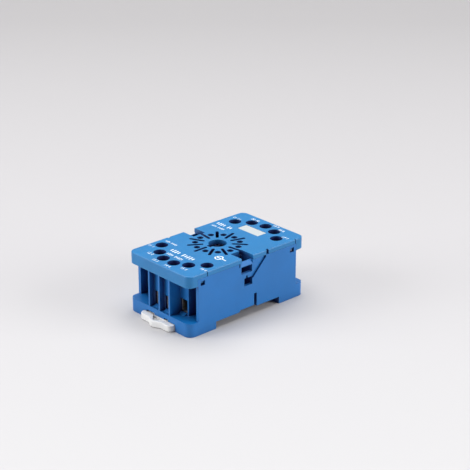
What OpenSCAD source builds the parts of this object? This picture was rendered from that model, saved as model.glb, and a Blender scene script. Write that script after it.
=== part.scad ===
// Eleven-pin plug-in relay socket for a 35 mm rail: a blue two-shell housing with box-clamp
// screw terminals at both ends, pin contacts round a keyed centre hole, and a white pull-out rail clip.
// X is the width, Y the length from the clip end to the far end, Z is up from the feet.

/* [Body] */
// Width across the side walls
body_w = 38.5; // [34:0.5:48]
// Length between the two end faces
body_l = 65; // [60:0.1:80]
// Height from the feet to the top of the cover
body_h = 27; // [26:0.1:34]
// Radius of the vertical corners
corner_r = 3; // [1:0.1:4]
// Thickness of the side walls
side_wall = 1.5; // [1:0.1:2]
// Height of the base flange's top at both ends
flange_h = 6; // [5.6:0.1:7]
// How far the side walls stand back from the end faces
end_recess = 5; // [4:0.1:6]

/* [Cover] */
// Thickness of the cover plate
cover_t = 2; // [1.6:0.1:3]
// Depth of the cover's end skirts below its top
skirt_h = 5.1; // [4:0.1:5.4]
// Length of the end skirts along the body
skirt_l = 4.7; // [3.5:0.1:4.9]
// Seam between the cover and the housing
seam = 0.05; // [0.04:0.01:0.2]
// Diameter of the screwdriver holes
access_d = 5.4; // [5:0.1:6]

/* [Relay pins] */
// Number of relay pins
pin_count = 11; // [11:1:11]
// Pitch circle diameter of the relay pins
pin_pcd = 19.05; // [17:0.05:21]
// Diameter of the pin holes in the cover
pin_hole_d = 2.8; // [2.6:0.1:3.2]
// Diameter of the centre hole for the relay's spigot
spigot_d = 7.8; // [7:0.1:9]
// Width of the keyway in the centre hole
key_w = 2.3; // [1.5:0.1:3]
// Reach of the keyway from the centre
key_reach = 5.15; // [4.8:0.05:6]
// Depth of the spigot well below the cover's top
spigot_depth = 13; // [10:0.5:14]
// Width of the ventilation slots between the pins
slot_w = 1.4; // [0.8:0.1:1.6]
// Inner end of the ventilation slots, from the centre
slot_in = 5.9; // [5.6:0.1:7]
// Outer end of the ventilation slots, from the centre
slot_out = 13.1; // [11:0.1:13.5]

/* [Terminals] */
// Sideways places of the front terminals' screws, inner to outer
front_x = [3.3, 9.15, 14.33];
// Distance of the front screws from the front face, inner to outer
front_in = [5.6, 8.6, 14];
// Sideways places of the back terminals' screws, centre to outer
back_x = [0, 7, 12.95];
// Distance of the back screws from the back face, centre to outer
back_in = [4.6, 6.2, 10.7];
// Width of a clamp cage
cage_w = 4.4; // [4:0.1:4.6]
// Depth of a clamp cage along the wire
cage_l = 4.2; // [4:0.1:4.4]
// Thickness of the cage's sides
cage_wall = 0.7; // [0.5:0.1:0.8]
// Thickness of the cage's floor
cage_floor = 1.2; // [1:0.1:1.4]
// Height of the wire gap when the clamp is open
wire_gap = 5.3; // [4.6:0.1:5.6]
// Height of the threaded top of the cage
cage_top_t = 2; // [1.6:0.1:2.2]
// How far a cage rises to clamp the wire
clamp_travel = 4; // [3:0.1:4.2]
// Nominal diameter of the clamp screws
screw_d = 3; // [2.5:0.1:3.2]
// Diameter of the screw heads
head_d = 4.2; // [3.8:0.1:4.3]
// Height of the screw heads
head_h = 2.1; // [1.8:0.1:2.4]
// Running clearance of a screw in its cage, on radius
thread_gap = 0.05; // [0.03:0.01:0.08]
// Gap between a cage and its pocket
cage_gap = 0.25; // [0.2:0.05:0.35]
// Thickness of the wall in front of a pocket
front_wall = 0.5; // [0.4:0.1:0.8]

/* [Contacts] */
// Thickness of the contact strips
strip_t = 0.8; // [0.6:0.1:1]
// Width of the contact strips
strip_w = 2.2; // [1.8:0.1:2.4]
// Outside diameter of the pin sleeves
sleeve_d = 3.5; // [3.3:0.1:3.8]
// Bore of the pin sleeves
sleeve_bore = 2.4; // [2.3:0.05:2.6]
// Gap between the contacts and the housing
contact_gap = 0.2; // [0.1:0.05:0.3]

/* [Rail and clip] */
// Width of the rail recess under the body
rail_w = 35.8; // [35.4:0.1:36.2]
// Depth of the rail recess
rail_depth = 3.2; // [2.8:0.1:3.6]
// Length of the front foot
foot_l = 14.4; // [13:0.1:15]
// Width of the pull-out clip
clip_w = 19.6; // [17:0.1:21]
// Thickness of the clip
clip_t = 2.8; // [2.4:0.1:2.9]
// Reach of the clip's pull bar past the front face
bar_reach = 2.6; // [2.5:0.1:4]
// Reach of the bar's blunt point past the front face
point_reach = 4.2; // [4:0.1:6]
// Height of the clip's underside above the feet
clip_lift = 0.15; // [0.1:0.05:0.3]
// How far the clip pulls out
clip_travel = 2.5; // [1.8:0.1:3]
// How far the clip's nose reaches under the rail
nose_reach = 1.5; // [1:0.1:1.8]
// Sliding gap round the clip
clip_gap = 0.2; // [0.1:0.05:0.3]

/* [Marking tag] */
// Width of the marking tag
tag_w = 12.5; // [10:0.1:14]
// Length of the marking tag along the body
tag_l = 5.1; // [4:0.1:6]
// Thickness of the marking tag
tag_t = 0.7; // [0.5:0.1:1]
// Distance of the tag's middle from the back face
tag_in = 12.3; // [11.4:0.1:13]
// Sideways place of the tag's middle
tag_x = -0.45; // [-1:0.05:1]

/* [Hidden] */
$fn = 48;
eps = 0.01;
fronts = len(front_x);
backs = len(back_x);
front_y = -(body_l - point_reach) / 2;
hub_y = body_l / 2;
half_w = body_w / 2;
cover_z = body_h - cover_t;
shell_z = cover_z - seam;
skirt_z = body_h - skirt_h;
inner_x = half_w - side_wall;

// Each terminal is [x, y, direction of its wire mouth along Y]
front_terminals = [for (i = [fronts - 1:-1:0]) [-front_x[i], front_in[i], -1],
                   for (i = [0:fronts - 1]) [front_x[i], front_in[i], -1]];
back_terminals = [for (i = [backs - 1:-1:1]) [back_x[i], body_l - back_in[i], 1],
                  [back_x[0], body_l - back_in[0], 1],
                  for (i = [1:backs - 1]) [-back_x[i], body_l - back_in[i], 1]];
terminals = concat(front_terminals, back_terminals);
pin_step = 360 / pin_count;
// Pins in the same order as the terminals that they feed, counted round from the front left one
function pin_angle(i) = (i - 2.5) * pin_step;
function pin_at(i) = [pin_pcd / 2 * sin(pin_angle(i)), hub_y - pin_pcd / 2 * cos(pin_angle(i))];

// Clamp heights, all from the floor of the terminal pockets up
cage_z = flange_h + 0.2;
gap_z = cage_z + cage_floor;
strip_z = gap_z + wire_gap;
strip_top = strip_z + strip_t;
cage_top = strip_top + 0.15 + cage_top_t;
head_z = cage_top + clamp_travel + 0.35;
screw_r = screw_d / 2;
pocket_front = cage_l / 2 + cage_gap + front_wall;
mouth_z = gap_z - 0.6;

// Places of the dividers between the wire mouths
divider_t = 0.9;
front_dividers = [(front_x[0] + front_x[1]) / 2 + 0.2, (front_x[1] + front_x[2]) / 2 + 0.05];
back_dividers = [(back_x[0] + back_x[1]) / 2, (back_x[1] + back_x[2]) / 2];
divider_in = 0.2;

// Side notches for a retaining bail
notch_y = hub_y - 3.8;
notch_l = 6.4;
notch_x = 12.3;
notch_z = 12;
bar_z = skirt_z + 1.2;

// Latches that hold the cover down
latch_l = 2.6;
latch_t = 0.9;
latch_in = 7.4;
latch_z = skirt_z - 0.4;
window_z = skirt_z - 0.2;
window_h = 2;
window_l = 2.2;

// Clip heights and lengths
clip_top = clip_lift + clip_t;
point_w = 3.9;
tip_w = 0.8;
rib_out = 1;
rib_h = 1.1;
rib_z = clip_top - rib_h;
well_z = clip_top + 0.9;
spring_room = flange_h - 1.1;
spring_y = 4.2;
post_y = foot_l - 1.9;
post_t = 1.1;
spring_w = clip_w - 3;
spring_z = clip_top + 0.1;
spring_h = spring_room - 0.3 - spring_z;
tag_y = body_l - tag_in;
rail_y = foot_l + rail_w;

// ---- Shared shapes ----

// Everything is drawn with Y = 0 at the front face, then moved so that the origin is central
module placed() {
    translate([0, front_y, 0]) children();
}

module both_sides() {
    children();
    mirror([1, 0, 0]) children();
}

// The right side's details, and the same ones after half a turn about the centre hole
module turned_pair() {
    children();
    translate([0, 2 * hub_y, 0]) rotate(180) children();
}

// Box centred across X, from y0 to y1 and z0 to z1
module slab(w, y0, y1, z0, z1) {
    translate([-w / 2, y0, z0]) cube([w, y1 - y0, z1 - z0]);
}

// Plan outline of the body with round corners
module plan(inset = 0) {
    r = corner_r - inset;
    for (x = [-1, 1]) {
        for (y = [0, 1]) {
            translate([x * (half_w - corner_r), corner_r + y * (body_l - 2 * corner_r)]) circle(r);
        }
    }
    translate([-half_w + corner_r, inset]) square([body_w - 2 * corner_r, body_l - 2 * inset]);
    translate([-half_w + inset, corner_r]) square([body_w - 2 * inset, body_l - 2 * corner_r]);
}

// Upright bar with round ends between two plan points
module bar(p, q, w, z0, z1) {
    d = q - p;
    translate([0, 0, z0]) linear_extrude(z1 - z0) {
        translate(p) rotate(atan2(d[1], d[0])) translate([0, -w / 2]) square([norm(d), w]);
        translate(p) circle(w / 2);
        translate(q) circle(w / 2);
    }
}

// ---- Cuts and places that the shells share with what they hold ----

// Pocket that a clamp drops into, open to the top
module pocket(t) {
    hw = cage_w / 2 + cage_gap;
    hl = cage_l / 2 + cage_gap;
    translate([t[0] - hw, t[1] - hl, flange_h]) cube([2 * hw, 2 * hl, body_h]);
}

// Mouth through the wall in front of a pocket, for the wire
module wire_mouth(t) {
    w = cage_w + 2 * cage_gap - 0.3;
    y = t[1] + t[2] * (pocket_front - front_wall / 2);
    translate([t[0] - w / 2, y - front_wall, mouth_z]) cube([w, 2 * front_wall, strip_z - mouth_z]);
}

// Where a contact turns from its terminal towards its pin
function turn_at(t) = [t[0], t[1] - t[2] * (cage_l / 2 + 1.6)];

// Trench for a contact, open to the top
module contact_trench(i) {
    t = terminals[i];
    p = pin_at(i);
    w = strip_w + 2 * contact_gap;
    bar([t[0], t[1]], turn_at(t), w, strip_z, body_h);
    bar(turn_at(t), p, w, strip_z, body_h);
    translate([p[0], p[1], strip_z]) cylinder(r = sleeve_d / 2 + contact_gap, h = body_h);
}

// Centre hole with its keyway towards the front
module keyed_hole(extra, z0, z1) {
    translate([0, hub_y, z0]) cylinder(r = spigot_d / 2 + extra, h = z1 - z0);
    slab(key_w + 2 * extra, hub_y - key_reach - extra, hub_y, z0, z1);
}

// Ventilation slots, one between each two pins
module vent_slots(w, z0, z1) {
    hub = [0, hub_y];
    for (i = [0:pin_count - 1]) {
        d = [sin(i * pin_step), -cos(i * pin_step)];
        bar(hub + d * (slot_in + slot_w / 2), hub + d * (slot_out - slot_w / 2), w, z0, z1);
    }
}

// Shallow chamber under the cover that the ventilation slots open into
module vent_chamber() {
    translate([0, hub_y, shell_z - 1.6]) cylinder(r = notch_x - 0.4, h = body_h);
}

// ---- Housing ----

// Wire bays in the right half of the front end, which the other bays mirror
module wire_bays(edges, ins) {
    for (i = [0:len(ins) - 1]) {
        inner = edges[i] == 0 ? -eps : edges[i] + divider_t / 2;
        outer = i == 0 ? edges[1] - divider_t / 2 : inner_x;
        translate([inner, -1, flange_h])
            cube([outer - inner, ins[i] - pocket_front + 1, skirt_z - flange_h]);
    }
}

module front_bays() {
    difference() {
        both_sides() wire_bays([0, front_dividers[0], front_dividers[1]], front_in);
        slab(divider_t, -2, foot_l, flange_h - 1, body_h);
    }
}

module back_bays() {
    translate([0, body_l, 0]) mirror([0, 1, 0]) both_sides()
        wire_bays([0, back_dividers[0], back_dividers[1]], back_in);
}

// Ramps that lead the wires up into their mouths
module ramps() {
    rise = mouth_z - flange_h;
    run = min(1.6, back_in[0] - pocket_front - 0.2);
    w = 3.6;
    for (t = terminals) {
        translate([t[0] - w / 2, t[1] + t[2] * pocket_front, flange_h]) rotate([90, 0, 90])
            linear_extrude(w) polygon([[-0.2 * t[2], -0.2], [-0.2 * t[2], rise], [0, rise],
                                       [run * t[2], 0], [run * t[2], -0.2]]);
    }
}

module rail_recess() {
    slab(body_w + 2, foot_l, rail_y, -1, rail_depth);
    slab(body_w + 2, foot_l + 13.3, foot_l + 22.8, -1, rail_depth + 0.8);
}

// Fixed hooks that reach under the rail's far edge
module fixed_hooks() {
    w = 6;
    for (x = [-10, 10]) {
        translate([x - w / 2, rail_y, 0]) rotate([90, 0, 90]) linear_extrude(w)
            polygon([[0.2, 0.2], [-0.4, 0.2], [-1.2, 0.8], [-1.2, 1.6], [0.2, 1.9]]);
    }
}

// Guideway for the clip in the front foot, with side grooves and room for its spring
module clip_guide() {
    slab(clip_w + 2 * clip_gap, -1, foot_l + 1, -1, clip_top + clip_gap);
    for (x = [[-8, -3], [3.2, 5.8]]) {
        translate([x[0], -1, 0]) cube([x[1] - x[0], spring_y + 2, well_z]);
    }
    slab(clip_w + 2 * (rib_out + clip_gap), 2, foot_l + 1, rib_z - clip_gap, clip_top + clip_gap);
    slab(spring_w, spring_y, foot_l - 0.5, clip_top, spring_room);
}

// Well under a side notch, its two windows through the wall and the bevel of the bar above them
module bail_seat() {
    through = side_wall + 2;
    translate([notch_x, notch_y, notch_z]) cube([inner_x - notch_x, notch_l, body_h]);
    translate([inner_x - 1, notch_y - 0.3, bar_z - 3.2]) cube([through, 6, 3.2]);
    translate([inner_x - 1, notch_y + 1.4, bar_z - 9]) cube([through, 4.5, 3.6]);
    translate([inner_x - 1, notch_y + 2.4, bar_z - 5.5]) cube([through, 0.8, 1.2]);
    translate([0, notch_y - 0.3, 0]) mirror([0, 1, 0]) rotate([90, 0, 0]) linear_extrude(notch_l)
        polygon([[half_w + 1, bar_z], [half_w, bar_z + 0.3], [inner_x + 0.3, shell_z + eps],
                 [half_w + 1, body_h]]);
    translate([half_w - 0.8, notch_y - 1.4, bar_z + 0.2]) cube([2, 0.5, body_h]);
}

// Slanting groove and upright slot in the outside of a side wall
module side_grooves() {
    groove_w = 1.7;
    low = [notch_y + 6, bar_z - 5.5];
    high = [notch_y + 13.3, shell_z];
    run = high - low;
    translate([half_w - 0.8, low[0], low[1]]) rotate([atan2(run[1], run[0]), 0, 0])
        translate([0, -0.5, -groove_w / 2]) cube([2, norm(run) + 0.5, groove_w]);
    translate([half_w - 2.6, notch_y + 7, -1]) cube([3, 1.5, flange_h + 4.3]);
}

// Room and window for a cover latch, for both ends
module latch_seats() {
    for (y = [latch_in, body_l - latch_in]) {
        translate([inner_x - latch_t - 0.2, y - latch_l / 2 - 0.2, latch_z - 0.3])
            cube([latch_t + 0.2, latch_l + 0.4, body_h]);
        translate([inner_x - 0.1, y - window_l / 2, window_z]) cube([side_wall + 1, window_l, window_h]);
    }
}

module housing_block() {
    linear_extrude(flange_h) plan();
    slab(2 * inner_x, divider_in, body_l - divider_in, flange_h - eps, skirt_z - seam);
    slab(body_w, end_recess, body_l - end_recess, flange_h - eps, skirt_z);
    slab(body_w, skirt_l + seam, body_l - skirt_l - seam, skirt_z - seam, shell_z);
}

module housing() color("#2f73bd") placed() {
    difference() {
        housing_block();
        front_bays();
        back_bays();
        for (i = [0:pin_count - 1]) {
            pocket(terminals[i]);
            wire_mouth(terminals[i]);
            contact_trench(i);
        }
        keyed_hole(0.2, body_h - spigot_depth, body_h);
        vent_slots(slot_w - 0.6, shell_z - 6, body_h);
        vent_chamber();
        turned_pair() bail_seat();
        turned_pair() side_grooves();
        both_sides() latch_seats();
        rail_recess();
        clip_guide();
    }
    ramps();
    fixed_hooks();
}

// ---- Cover ----

// One latch leg with its hook, on the right
module latch_leg(y) {
    x = inner_x - latch_t - 0.1;
    hook_x = x + latch_t + 0.9;
    hook_z = window_z + window_h - 0.2;
    translate([0, y + window_l / 2 - 0.2, 0]) rotate([90, 0, 0]) linear_extrude(window_l - 0.4)
        polygon([[x, cover_z + 0.5], [x, latch_z], [x + latch_t, latch_z], [x + latch_t, window_z + 0.1],
                 [hook_x, window_z + 0.9], [hook_x, hook_z], [x + latch_t, hook_z],
                 [x + latch_t, cover_z + 0.5]]);
}

// Skirts that close the wire bays at the top of both ends
module skirts() {
    linear_extrude(skirt_h - 0.5) intersection() {
        plan();
        for (y = [0, body_l - skirt_l]) {
            translate([-half_w, y]) square([body_w, skirt_l]);
        }
    }
}

// Notches in the cover's edges: the bail's notch and three small slits on each side
module edge_notches() {
    translate([notch_x, notch_y, skirt_z]) cube([body_w, notch_l, body_h]);
    for (y = [2.3 + latch_in, body_l - latch_in + 1.8]) {
        translate([half_w - 0.8, y, skirt_z]) cube([2, 0.35, body_h]);
    }
    translate([half_w - 0.9, notch_y + 13.9, skirt_z]) cube([2, 1.3, body_h]);
}

module cover() color("#4a9bdc") placed() {
    difference() {
        union() {
            translate([0, 0, cover_z]) linear_extrude(cover_t) plan();
            translate([0, 0, skirt_z]) skirts();
        }
        for (i = [0:pin_count - 1]) {
            translate([terminals[i][0], terminals[i][1], 0]) cylinder(d = access_d, h = body_h + 1);
            translate([pin_at(i)[0], pin_at(i)[1], 0]) cylinder(d = pin_hole_d, h = body_h + 1);
        }
        keyed_hole(0, 0, body_h + 1);
        vent_slots(slot_w, 0, body_h + 1);
        turned_pair() edge_notches();
        translate([tag_x, 0, 0]) slab(tag_w + 0.2, tag_y - tag_l / 2 - 0.1, tag_y + tag_l / 2 + 0.1,
                                      body_h - tag_t, body_h + 1);
    }
    both_sides() {
        latch_leg(latch_in);
        latch_leg(body_l - latch_in);
    }
}

module marking_tag() color("white") placed()
    translate([tag_x, 0, 0]) slab(tag_w, tag_y - tag_l / 2, tag_y + tag_l / 2, body_h - tag_t, body_h);

// ---- Rail clip ----

// Plan outline of the pull tab: a bar with round ends and a blunt point in the middle
module tab_outline() {
    end_r = 2;
    for (s = [-1, 1]) {
        translate([s * (clip_w / 2 - end_r), end_r - bar_reach]) circle(end_r);
    }
    translate([-clip_w / 2, end_r - bar_reach]) square([clip_w, bar_reach]);
    translate([-clip_w / 2 + end_r, -bar_reach]) square([clip_w - 2 * end_r, bar_reach + end_r]);
    polygon([[-point_w, eps - bar_reach], [-tip_w, -point_reach], [tip_w, -point_reach],
             [point_w, eps - bar_reach]]);
}

module rail_clip() color("#eceae6") placed() difference() {
    union() {
        translate([0, 0, clip_lift]) linear_extrude(clip_t) tab_outline();
        slab(clip_w, 0, foot_l - 0.4, clip_lift, clip_top);
        slab(clip_w + 2 * rib_out, 2 + clip_travel + clip_gap, foot_l - 0.4, rib_z, clip_top);
        slab(clip_w - 4, post_y, post_y + post_t, clip_top - eps, spring_room - clip_gap);
        translate([4 - clip_w / 2, foot_l - 0.5, clip_lift]) rotate([90, 0, 90]) linear_extrude(clip_w - 8)
            polygon([[0, 0], [1, 0], [nose_reach + 0.5, 0.7], [nose_reach + 0.5, 1.8], [0, 1.8]]);
    }
    translate([0, 0, clip_top - 1.2]) linear_extrude(body_h)
        polygon([[-point_w, 0.3], [-tip_w, 1.3 - point_reach], [tip_w, 1.3 - point_reach], [point_w, 0.3]]);
}

// Two folded leaves that push the clip home
module rail_clip_spring() color("#f4f2ee") placed() {
    leaf_t = 0.7;
    folds = 4;
    reach = 2.3;
    y0 = spring_y + leaf_t / 2;
    pitch = (post_y - spring_y - leaf_t) / folds;
    for (x = [-4.2, 4.2]) {
        leaf_x = [x - reach, x + reach];
        for (i = [0:folds - 1]) {
            bar([leaf_x[i % 2], y0 + i * pitch], [leaf_x[(i + 1) % 2], y0 + (i + 1) * pitch],
                leaf_t, spring_z, spring_z + spring_h);
        }
    }
}

// ---- Contacts and clamps ----

// Strip from under the clamp screw to the slotted sleeve that takes the relay's pin
module contact(i) color("#c9a24a") placed() {
    t = terminals[i];
    p = pin_at(i);
    difference() {
        union() {
            bar([t[0], t[1] + t[2] * 0.8], turn_at(t), strip_w, strip_z, strip_top);
            bar(turn_at(t), p, strip_w, strip_z, strip_top);
            translate([p[0], p[1], strip_z]) cylinder(d = sleeve_d, h = shell_z - 0.2 - strip_z);
        }
        translate([p[0], p[1], strip_top]) {
            cylinder(d = sleeve_bore, h = body_h);
            rotate(pin_angle(i)) translate([-0.25, -sleeve_d, 3]) cube([0.5, 2 * sleeve_d, body_h]);
        }
    }
}

// Box cage that rises on its screw and lifts the wire against the strip
module clamp(i) color("#b9bcc0") placed() {
    t = terminals[i];
    translate([t[0], t[1], 0]) difference() {
        slab(cage_w, -cage_l / 2, cage_l / 2, cage_z, cage_top);
        slab(cage_w - 2 * cage_wall, -cage_l, cage_l, gap_z, strip_top + 0.15);
        translate([0, 0, strip_top]) cylinder(r = screw_r + thread_gap, h = body_h);
    }
}

// Clamp screw with a cross slot, its tip on the contact strip
module screw(i) color("#8d9095") placed() {
    t = terminals[i];
    slot_l = head_d - 0.8;
    translate([t[0], t[1], 0]) difference() {
        union() {
            translate([0, 0, strip_top + 0.05]) cylinder(r = screw_r, h = head_z - strip_top);
            translate([0, 0, head_z]) cylinder(d = head_d, h = head_h);
        }
        slab(0.8, -head_d, head_d, head_z + head_h - 1, body_h);
        slab(slot_l, -0.35, 0.35, head_z + head_h - 1.2, body_h);
    }
}

housing();
cover();
marking_tag();
rail_clip();
rail_clip_spring();
contact(0);  // contact_1
contact(1);  // contact_2
contact(2);  // contact_3
contact(3);  // contact_4
contact(4);  // contact_5
contact(5);  // contact_6
contact(6);  // contact_7
contact(7);  // contact_8
contact(8);  // contact_9
contact(9);  // contact_10
contact(10);  // contact_11
clamp(0);  // clamp_1
clamp(1);  // clamp_2
clamp(2);  // clamp_3
clamp(3);  // clamp_4
clamp(4);  // clamp_5
clamp(5);  // clamp_6
clamp(6);  // clamp_7
clamp(7);  // clamp_8
clamp(8);  // clamp_9
clamp(9);  // clamp_10
clamp(10);  // clamp_11
screw(0);  // screw_1
screw(1);  // screw_2
screw(2);  // screw_3
screw(3);  // screw_4
screw(4);  // screw_5
screw(5);  // screw_6
screw(6);  // screw_7
screw(7);  // screw_8
screw(8);  // screw_9
screw(9);  // screw_10
screw(10);  // screw_11
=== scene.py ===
"""Plug-in relay socket on a pale studio sweep: materials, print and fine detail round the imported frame."""

import math

import bmesh
import bpy
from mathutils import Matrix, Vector


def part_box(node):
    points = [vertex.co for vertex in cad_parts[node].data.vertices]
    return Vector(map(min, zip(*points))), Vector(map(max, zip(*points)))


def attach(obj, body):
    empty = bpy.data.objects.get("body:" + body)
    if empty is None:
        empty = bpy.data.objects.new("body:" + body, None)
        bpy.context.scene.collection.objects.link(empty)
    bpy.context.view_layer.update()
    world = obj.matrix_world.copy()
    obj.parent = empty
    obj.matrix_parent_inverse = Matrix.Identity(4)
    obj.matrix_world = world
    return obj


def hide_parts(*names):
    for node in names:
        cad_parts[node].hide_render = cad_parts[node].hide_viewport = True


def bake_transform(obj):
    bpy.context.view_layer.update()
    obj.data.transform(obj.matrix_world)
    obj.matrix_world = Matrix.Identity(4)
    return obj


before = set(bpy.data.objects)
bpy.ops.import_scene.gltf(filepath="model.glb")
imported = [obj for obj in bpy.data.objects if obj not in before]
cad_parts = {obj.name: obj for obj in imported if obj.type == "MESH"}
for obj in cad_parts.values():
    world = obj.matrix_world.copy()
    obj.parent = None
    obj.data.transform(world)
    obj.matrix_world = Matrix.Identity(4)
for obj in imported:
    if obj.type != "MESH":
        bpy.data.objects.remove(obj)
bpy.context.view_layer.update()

MM = 0.001
TERMINALS = 11
BOX = {name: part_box(name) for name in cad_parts}
COVER_LOW, COVER_HIGH = BOX["cover"]
FRONT_Y = COVER_LOW.y
BACK_Y = COVER_HIGH.y
TOP_Z = COVER_HIGH.z
HALF_W = COVER_HIGH.x
HUB = Vector((0, (FRONT_Y + BACK_Y) / 2, TOP_Z))
CORNER = 3 * MM
JOIN_WITHIN = 0.001 * MM
FLAT_ANGLE = math.radians(1)
SHARP_ANGLE = math.radians(35)
FINE_EDGE = 0.12 * MM


def add_object(name, data):
    obj = bpy.data.objects.new(name, data)
    bpy.context.scene.collection.objects.link(obj)
    return obj


def mesh_from(bm, name):
    mesh = bpy.data.meshes.new(name)
    bm.to_mesh(mesh)
    bm.free()
    return mesh


# ---------------------------------------------------------------- node materials


# Painted shade: ambient occlusion in the material darkens hollows and crevices towards a navy colour.
SHADE_REACH = 9 * MM
SHADE_STARTS = 0.5
SHADE_FULL = 0.1
GRAIN_DEPTH = 0.04 * MM
LINE_DEPTH = 0.03 * MM


class Nodes:
    """A new material's node tree, with short calls to add to it."""

    def __init__(self, name):
        self.material = bpy.data.materials.new(name)
        self.material.use_nodes = True
        self.tree = self.material.node_tree
        self.shader = self.tree.nodes["Principled BSDF"]
        coords = self.tree.nodes.new("ShaderNodeTexCoord")
        self.place = coords.outputs["Object"]

    def set(self, **values):
        for key, value in values.items():
            self.shader.inputs[key.replace("_", " ")].default_value = value

    def link(self, output, socket):
        self.tree.links.new(output, socket)

    def noise(self, scale, detail, stretch=(1, 1, 1)):
        mapping = self.tree.nodes.new("ShaderNodeMapping")
        mapping.inputs["Scale"].default_value = stretch
        self.link(self.place, mapping.inputs["Vector"])
        noise = self.tree.nodes.new("ShaderNodeTexNoise")
        noise.inputs["Scale"].default_value = scale
        noise.inputs["Detail"].default_value = detail
        self.link(mapping.outputs["Vector"], noise.inputs["Vector"])
        return noise.outputs["Fac"]

    def ramp(self, value, stops):
        ramp = self.tree.nodes.new("ShaderNodeValToRGB")
        elements = ramp.color_ramp.elements
        while len(elements) < len(stops):
            elements.new(0.5)
        for element, (at, colour) in zip(elements, stops):
            element.position = at
            element.color = (*colour, 1)
        self.link(value, ramp.inputs["Fac"])
        return ramp.outputs["Color"]

    def along(self, direction, start, end):
        """How far a point is along a direction, from 0 at start to 1 at end."""
        dot = self.tree.nodes.new("ShaderNodeVectorMath")
        dot.operation = "DOT_PRODUCT"
        dot.inputs[1].default_value = direction
        self.link(self.place, dot.inputs[0])
        span = self.tree.nodes.new("ShaderNodeMapRange")
        span.inputs["From Min"].default_value = start
        span.inputs["From Max"].default_value = end
        self.link(dot.outputs["Value"], span.inputs["Value"])
        return span.outputs["Result"]

    def between(self, value, low, high):
        span = self.tree.nodes.new("ShaderNodeMapRange")
        span.inputs["To Min"].default_value = low
        span.inputs["To Max"].default_value = high
        self.link(value, span.inputs["Value"])
        return span.outputs["Result"]

    def bump(self, height, strength, distance, edge=0.0):
        """Fine relief. With an edge radius, sharp edges also catch the light as if they were rounded."""
        bump = self.tree.nodes.new("ShaderNodeBump")
        if edge:
            rounded = self.tree.nodes.new("ShaderNodeBevel")
            rounded.samples = 4
            rounded.inputs["Radius"].default_value = edge
            self.link(rounded.outputs["Normal"], bump.inputs["Normal"])
        bump.inputs["Strength"].default_value = strength
        bump.inputs["Distance"].default_value = distance
        self.link(height, bump.inputs["Height"])
        self.link(bump.outputs["Normal"], self.shader.inputs["Normal"])

    def painted_hollow_shade(self, surface, shade_colour, depth):
        """The surface colour, mixed towards a painted shade colour where ambient occlusion finds enclosed
        places, and sooner with more depth.
        """
        open_sky = self.tree.nodes.new("ShaderNodeAmbientOcclusion")
        open_sky.samples = 8
        open_sky.inputs["Distance"].default_value = SHADE_REACH
        painted_shade_amount = self.tree.nodes.new("ShaderNodeMapRange")
        painted_shade_amount.inputs["From Min"].default_value = SHADE_STARTS + depth
        painted_shade_amount.inputs["From Max"].default_value = SHADE_FULL + depth
        self.link(open_sky.outputs["AO"], painted_shade_amount.inputs["Value"])
        mix = self.tree.nodes.new("ShaderNodeMix")
        mix.data_type = "RGBA"
        mix.inputs["B"].default_value = (*shade_colour, 1)
        self.link(painted_shade_amount.outputs["Result"], mix.inputs["Factor"])
        self.link(surface, mix.inputs["A"])
        return mix.outputs["Result"]


def shade(colour, factor):
    return tuple(min(1.0, c * factor) for c in colour)


def moulded(name, colour, roughness, spread=0.06, shade_colour=None, depth=0.0, edge=0.0):
    """Moulded plastic: cloudy colour, faint flow streaks in the gloss, and a fine spark-eroded grain. With a
    shade colour given, enclosed places get painted shade.
    """
    n = Nodes(name)
    cloud = n.noise(scale=90, detail=4)
    surface = n.ramp(cloud, [(0.3, shade(colour, 1 - spread)), (0.7, shade(colour, 1 + spread))])
    if shade_colour:
        surface = n.painted_hollow_shade(surface, shade_colour, depth)
    n.link(surface, n.shader.inputs["Base Color"])
    flow = n.noise(scale=160, detail=2, stretch=(1, 0.25, 1))
    n.link(n.between(flow, roughness - 0.06, roughness + 0.06), n.shader.inputs["Roughness"])
    n.bump(n.noise(scale=5200, detail=2), strength=0.25, distance=GRAIN_DEPTH, edge=edge)
    n.set(Specular_IOR_Level=0.5, IOR=1.5)
    return n.material


def metal(name, colour, roughness, stretch):
    """Stamped or drawn metal: fine drawing lines along one direction and duller patches."""
    n = Nodes(name)
    lines = n.noise(scale=2600, detail=3, stretch=stretch)
    surface = n.ramp(lines, [(0.3, shade(colour, 0.82)), (0.7, shade(colour, 1.1))])
    n.link(surface, n.shader.inputs["Base Color"])
    patches = n.noise(scale=420, detail=3)
    n.link(n.between(patches, roughness - 0.1, roughness + 0.14), n.shader.inputs["Roughness"])
    n.bump(lines, strength=0.3, distance=LINE_DEPTH)
    n.set(Metallic=1.0)
    return n.material


def ink(name, colour):
    """Pad-printed ink: slightly uneven white."""
    n = Nodes(name)
    patches = n.noise(scale=1500, detail=3)
    surface = n.ramp(patches, [(0.25, shade(colour, 0.86)), (0.6, colour)])
    n.link(surface, n.shader.inputs["Base Color"])
    gloss = n.noise(scale=900, detail=2)
    n.link(n.between(gloss, 0.5, 0.65), n.shader.inputs["Roughness"])
    return n.material


# Navy for the painted shade in the blue plastic's hollows; the plastic itself is blue throughout.
NAVY_PAINTED_SHADE = (0.012, 0.018, 0.11)
BLUE = moulded("blue_plastic", (0.003, 0.140, 0.43), roughness=0.42,
               shade_colour=NAVY_PAINTED_SHADE, depth=0.12, edge=0.18 * MM)
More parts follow.
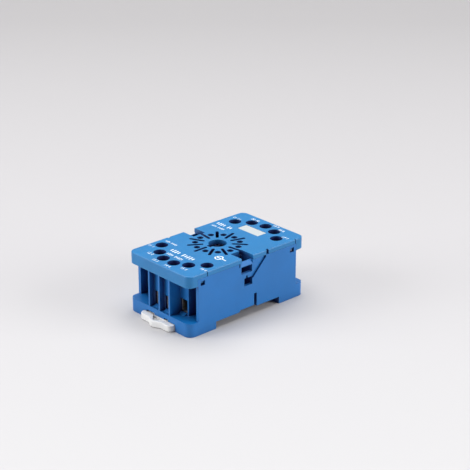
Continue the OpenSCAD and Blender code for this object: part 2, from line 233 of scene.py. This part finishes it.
# The cover's blue is greener and lighter than the housing's: partly its own tint, partly painted light for
# its brightly lit top. Its hollows get stronger painted shade.
BLUE_COVER_TINT_AND_PAINTED_LIGHT = moulded("blue_cover_plastic", (0.007, 0.165, 0.41), roughness=0.38,
                     shade_colour=NAVY_PAINTED_SHADE, depth=0.32)
WHITE = moulded("white_plastic", (0.78, 0.78, 0.775), roughness=0.42, spread=0.025)
TAG_WHITE = moulded("tag_plastic", (0.46, 0.50, 0.515), roughness=0.4, spread=0.02)
BRASS = metal("contact_brass", (0.72, 0.50, 0.22), roughness=0.36, stretch=(1, 0.08, 1))
ZINC = metal("cage_zinc", (0.55, 0.52, 0.46), roughness=0.38, stretch=(1, 1, 0.1))
STEEL = metal("screw_steel", (0.50, 0.50, 0.51), roughness=0.34, stretch=(1, 1, 1))
INK = ink("white_ink", (0.80, 0.86, 0.90))


# ---------------------------------------------------------------- the socket's pieces


def bevel_sharp(obj, width, segments):
    """Round the sharp edges, and keep the faces beside them looking flat."""
    bevel = obj.modifiers.new("edges", "BEVEL")
    bevel.width = width
    bevel.segments = segments
    bevel.limit_method = "ANGLE"
    bevel.angle_limit = SHARP_ANGLE
    normals = obj.modifiers.new("normals", "WEIGHTED_NORMAL")
    normals.weight = 100
    return bevel


def round_edges(obj, width, segments):
    """Merge the split faces, drop the triangle edges inside flat faces, and round what is left."""
    weld = obj.modifiers.new("weld", "WELD")
    weld.merge_threshold = JOIN_WITHIN
    flat = obj.modifiers.new("flat", "DECIMATE")
    flat.decimate_type = "DISSOLVE"
    flat.angle_limit = FLAT_ANGLE
    bevel = bevel_sharp(obj, width, segments)
    bevel.use_clamp_overlap = False


def dress(name, material, width=0.0, segments=2):
    """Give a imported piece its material, and round its edges when a width is given."""
    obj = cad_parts[name]
    obj.data.materials.clear()
    obj.data.materials.append(material)
    if width:
        round_edges(obj, width, segments)


def flat_copy(name):
    """The node's mesh with split faces merged and the triangle edges inside flat faces dropped."""
    bm = bmesh.new()
    bm.from_mesh(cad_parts[name].data)
    bmesh.ops.remove_doubles(bm, verts=bm.verts, dist=JOIN_WITHIN)
    bmesh.ops.dissolve_limit(bm, angle_limit=FLAT_ANGLE, verts=bm.verts, edges=bm.edges)
    return bm


RIM_ROUND = 0.45 * MM
RIM_SLACK = 0.01 * MM


def on_cover_rim(edge):
    """True for the sharp edges that run round the outside of the cover's top."""
    if len(edge.link_faces) != 2 or edge.calc_face_angle() < SHARP_ANGLE:
        return False
    for vertex in edge.verts:
        past = [max(abs(vertex.co.x) - (HALF_W - CORNER), 0),
                max(abs(vertex.co.y - HUB.y) - (HUB.y - FRONT_Y - CORNER), 0)]
        if vertex.co.z < TOP_Z - RIM_SLACK or math.hypot(*past) < CORNER - 2 * RIM_SLACK:
            return False
    return True


def moulded_cover():
    """The cover with a wide rounding along its outer top edge."""
    bm = flat_copy("cover")
    rim = [edge for edge in bm.edges if on_cover_rim(edge)]
    bmesh.ops.bevel(bm, geom=rim, offset=RIM_ROUND, segments=4, profile=0.5, affect="EDGES")
    mesh = mesh_from(bm, "cover_shell")
    mesh.materials.append(BLUE_COVER_TINT_AND_PAINTED_LIGHT)
    shell = add_object("cover_shell", mesh)
    bevel_sharp(shell, FINE_EDGE, segments=2)
    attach(shell, "root")
    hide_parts("cover")


def flexing_spring():
    """The clip's folded leaves as a white plastic copy; the imported spring is hidden."""
    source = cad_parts["rail_clip_spring"]
    mesh = source.data.copy()
    mesh.transform(source.matrix_world)
    mesh.materials.clear()
    mesh.materials.append(WHITE)
    leaves = add_object("clip_leaves", mesh)
    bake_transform(leaves)
    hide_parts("rail_clip_spring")


dress("housing", BLUE)
moulded_cover()
dress("marking_tag", TAG_WHITE, FINE_EDGE)
dress("rail_clip", WHITE, 0.3 * MM, segments=3)
flexing_spring()
for number in range(1, TERMINALS + 1):
    dress(f"contact_{number}", BRASS, 0.05 * MM)
    dress(f"clamp_{number}", ZINC, 0.1 * MM)
    dress(f"screw_{number}", STEEL, 0.04 * MM)


# ---------------------------------------------------------------- printed marks


INK_T = 0.02 * MM
NUMBER_H = 2.1 * MM
NUMBER_MARGIN = 1.7 * MM
FRONT_REACH = 3.9 * MM
BACK_REACH = 3.1 * MM
CENTRE_SHIFT = 3.3 * MM
OUTWARD = 0.16
STROKE_PITCH = 0.62
STROKE_WIDTH = 0.4
SHORT_STROKE = 0.72
RING_STEPS = 40
RING_R = 1.9 * MM
BAR_W = 0.5 * MM
SYMBOL = Vector((13.2 * MM, FRONT_Y + 22.6 * MM))
# Each line's two ends across the socket, its distance from the front face and its height, in mm
LINES = [
    (-6, 4, 10.1, 1.6),
    (-7.6, 7.4, 13.6, 2.4),
    (-16.6, -8.4, 18.2, 1.2),
    (-16.8, -7.2, 44.4, 1.3),
    (-16.8, -7.2, 47.6, 2.2),
]


def print_digits(text, x, y, height):
    """A terminal number on the cover, centred at x, y."""
    curve = bpy.data.curves.new("print", "FONT")
    curve.body = text
    curve.size = height
    curve.align_x = "CENTER"
    curve.align_y = "CENTER"
    curve.extrude = INK_T
    obj = add_object("print", curve)
    obj.location = (x, y, TOP_Z)
    return obj


def print_block(x0, x1, y, height):
    """A solid patch of print from x0 to x1."""
    bm = bmesh.new()
    bmesh.ops.create_cube(bm, size=1)
    bmesh.ops.scale(bm, vec=(x1 - x0, height, 2 * INK_T), verts=bm.verts)
    bmesh.ops.translate(bm, vec=((x0 + x1) / 2, y, TOP_Z), verts=bm.verts)
    return add_object("print", mesh_from(bm, "print"))


def print_line(x0, x1, y, height):
    """A line of plain strokes in groups, with a gap at every sixth place."""
    pitch = height * STROKE_PITCH
    strokes = int((x1 - x0) / pitch)
    pieces = []
    for i in range(strokes):
        if i % 6 == 4:
            continue
        tall = height if i % 3 else height * SHORT_STROKE
        pieces.append(print_block(x0 + i * pitch, x0 + (i + STROKE_WIDTH) * pitch, y, tall))
    return pieces


def print_ring(x, y, radius, width):
    """A plain ring."""
    bm = bmesh.new()
    for z in (TOP_Z - INK_T, TOP_Z + INK_T):
        for r in (radius - width, radius):
            for i in range(RING_STEPS):
                a = 2 * math.pi * i / RING_STEPS
                bm.verts.new((x + r * math.cos(a), y + r * math.sin(a), z))
    bm.verts.ensure_lookup_table()
    circles = [range(n * RING_STEPS, (n + 1) * RING_STEPS) for n in range(4)]
    low_in, low_out, top_in, top_out = circles
    for near, far in ((top_in, top_out), (top_out, low_out), (low_out, low_in), (low_in, top_in)):
        for i in range(RING_STEPS):
            j = (i + 1) % RING_STEPS
            bm.faces.new([bm.verts[k] for k in (near[i], far[i], far[j], near[j])])
    return add_object("print", mesh_from(bm, "print"))


def middle(name):
    low, high = BOX[name]
    return (low + high) / 2


def terminal_numbers():
    """One number beside each screwdriver hole, on the side that faces the end of the socket."""
    pieces = []
    for number in range(1, TERMINALS + 1):
        at = middle(f"screw_{number}")
        shift = OUTWARD * at.x if abs(at.x) > 1 * MM else CENTRE_SHIFT
        y = at.y - FRONT_REACH if at.y < HUB.y else at.y + BACK_REACH
        y = max(min(y, BACK_Y - NUMBER_MARGIN), FRONT_Y + NUMBER_MARGIN)
        pieces.append(print_digits(f"{number + 10} {number}", at.x + shift, y, NUMBER_H))
    return pieces


def build_print():
    """Numbers, and plain strokes and a plain symbol where a maker's lines and marks would be."""
    pieces = terminal_numbers()
    for x0, x1, y, height in LINES:
        pieces += print_line(x0 * MM, x1 * MM, FRONT_Y + y * MM, height * MM)
    pieces.append(print_ring(SYMBOL.x - 1.2 * MM, SYMBOL.y, RING_R, BAR_W))
    pieces.append(print_block(SYMBOL.x - 3.1 * MM, SYMBOL.x + 3 * MM, SYMBOL.y, BAR_W))
    bpy.context.view_layer.update()
    return pieces


def join_meshes(name, objects, material):
    """One object from several, which are removed."""
    depsgraph = bpy.context.evaluated_depsgraph_get()
    bm = bmesh.new()
    for obj in objects:
        mesh = bpy.data.meshes.new_from_object(obj.evaluated_get(depsgraph))
        mesh.transform(obj.matrix_world)
        bm.from_mesh(mesh)
        bpy.data.meshes.remove(mesh)
    for obj in objects:
        bpy.data.objects.remove(obj)
    mesh = mesh_from(bm, name)
    mesh.materials.clear()
    mesh.materials.append(material)
    return add_object(name, mesh)


marks = join_meshes("printed_marks", build_print(), INK)
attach(marks, "root")


# ---------------------------------------------------------------- floor, light and camera


def sweep():
    """Pale floor that curves up into a backdrop, with painted shade that darkens it towards the back."""
    half, near, far, rise, radius = 3.0, -2.0, 1.6, 2.2, 0.8
    steps = 12
    outline = [(near, 0.0), (far - radius, 0.0)]
    for step in range(1, steps + 1):
        a = math.radians(90 * step / steps)
        outline.append((far - radius + radius * math.sin(a), radius - radius * math.cos(a)))
    outline.append((far, rise))
    view = math.radians(AZIMUTH)
    along = Vector((-math.sin(view), math.cos(view), 0))
    side = Vector((math.cos(view), math.sin(view), 0))
    bm = bmesh.new()
    rows = []
    for d, z in outline:
        middle_of_row = along * d + Vector((0, 0, z))
        rows.append([bm.verts.new(middle_of_row + side * s) for s in (-half, half)])
    for a, b in zip(rows, rows[1:]):
        bm.faces.new((a[0], a[1], b[1], b[0]))
    mesh = mesh_from(bm, "sweep")
    for face in mesh.polygons:
        face.use_smooth = True
    n = Nodes("paper")
    # Painted shade: the paper's grey falls from near the camera to the backdrop, standing in for the light's
    # falloff.
    painted_falloff_greys = [(0.33, (0.56, 0.555, 0.56)), (0.53, (0.49, 0.48, 0.49)), (0.98, (0.385, 0.375, 0.38))]
    painted_falloff = n.ramp(n.along(along, start=-0.5, end=0.5), painted_falloff_greys)
    n.link(painted_falloff, n.shader.inputs["Base Color"])
    n.set(Roughness=0.85)
    mesh.materials.append(n.material)
    obj = add_object("sweep", mesh)


def area_light(name, at, size, watts):
    """A rectangular soft box that faces the origin."""
    data = bpy.data.lights.new(name, "AREA")
    data.shape = "RECTANGLE"
    data.size, data.size_y = size
    data.energy = watts
    obj = add_object(name, data)
    obj.location = at
    obj.rotation_euler = (-Vector(at)).to_track_quat("-Z", "Y").to_euler()


def camera():
    """Three-quarter view from above the clip end, with the frame off the socket's middle."""
    a, e = math.radians(AZIMUTH), math.radians(ELEVATION)
    back = Vector((math.sin(a) * math.cos(e), -math.cos(a) * math.cos(e), math.sin(e)))
    right = Vector((math.cos(a), math.sin(a), 0))
    up = back.cross(right)
    target = Vector((0, HUB.y - 0.1 * MM, 14 * MM))
    data = bpy.data.cameras.new("camera")
    data.sensor_width = 36
    data.lens = LENS
    data.clip_start = 0.01
    obj = add_object("camera", data)
    obj.location = target + back * DISTANCE - right * FRAME_RIGHT - up * FRAME_UP
    obj.rotation_euler = (math.radians(90 - ELEVATION), 0, a)
    bpy.context.scene.camera = obj


AZIMUTH = 47.576
ELEVATION = 22.588
DISTANCE = 616.4 * MM
LENS = 111.4
FRAME_RIGHT = -7.42 * MM
FRAME_UP = -15.45 * MM

sweep()
camera()
area_light("overhead", at=(-0.22, 0.15, 1.15), size=(1.4, 1.4), watts=22)
area_light("left", at=(-0.75, -1.2, 0.5), size=(0.9, 0.7), watts=16)
area_light("right", at=(1.2, 0.75, 0.5), size=(0.9, 0.7), watts=16)

world = bpy.data.worlds.new("studio")
world.use_nodes = True
background = world.node_tree.nodes["Background"]
background.inputs["Color"].default_value = (0.93, 0.94, 1.0, 1)
background.inputs["Strength"].default_value = 0.18
bpy.context.scene.world = world
bpy.context.scene.view_settings.view_transform = "Standard"

bpy.context.view_layer.update()
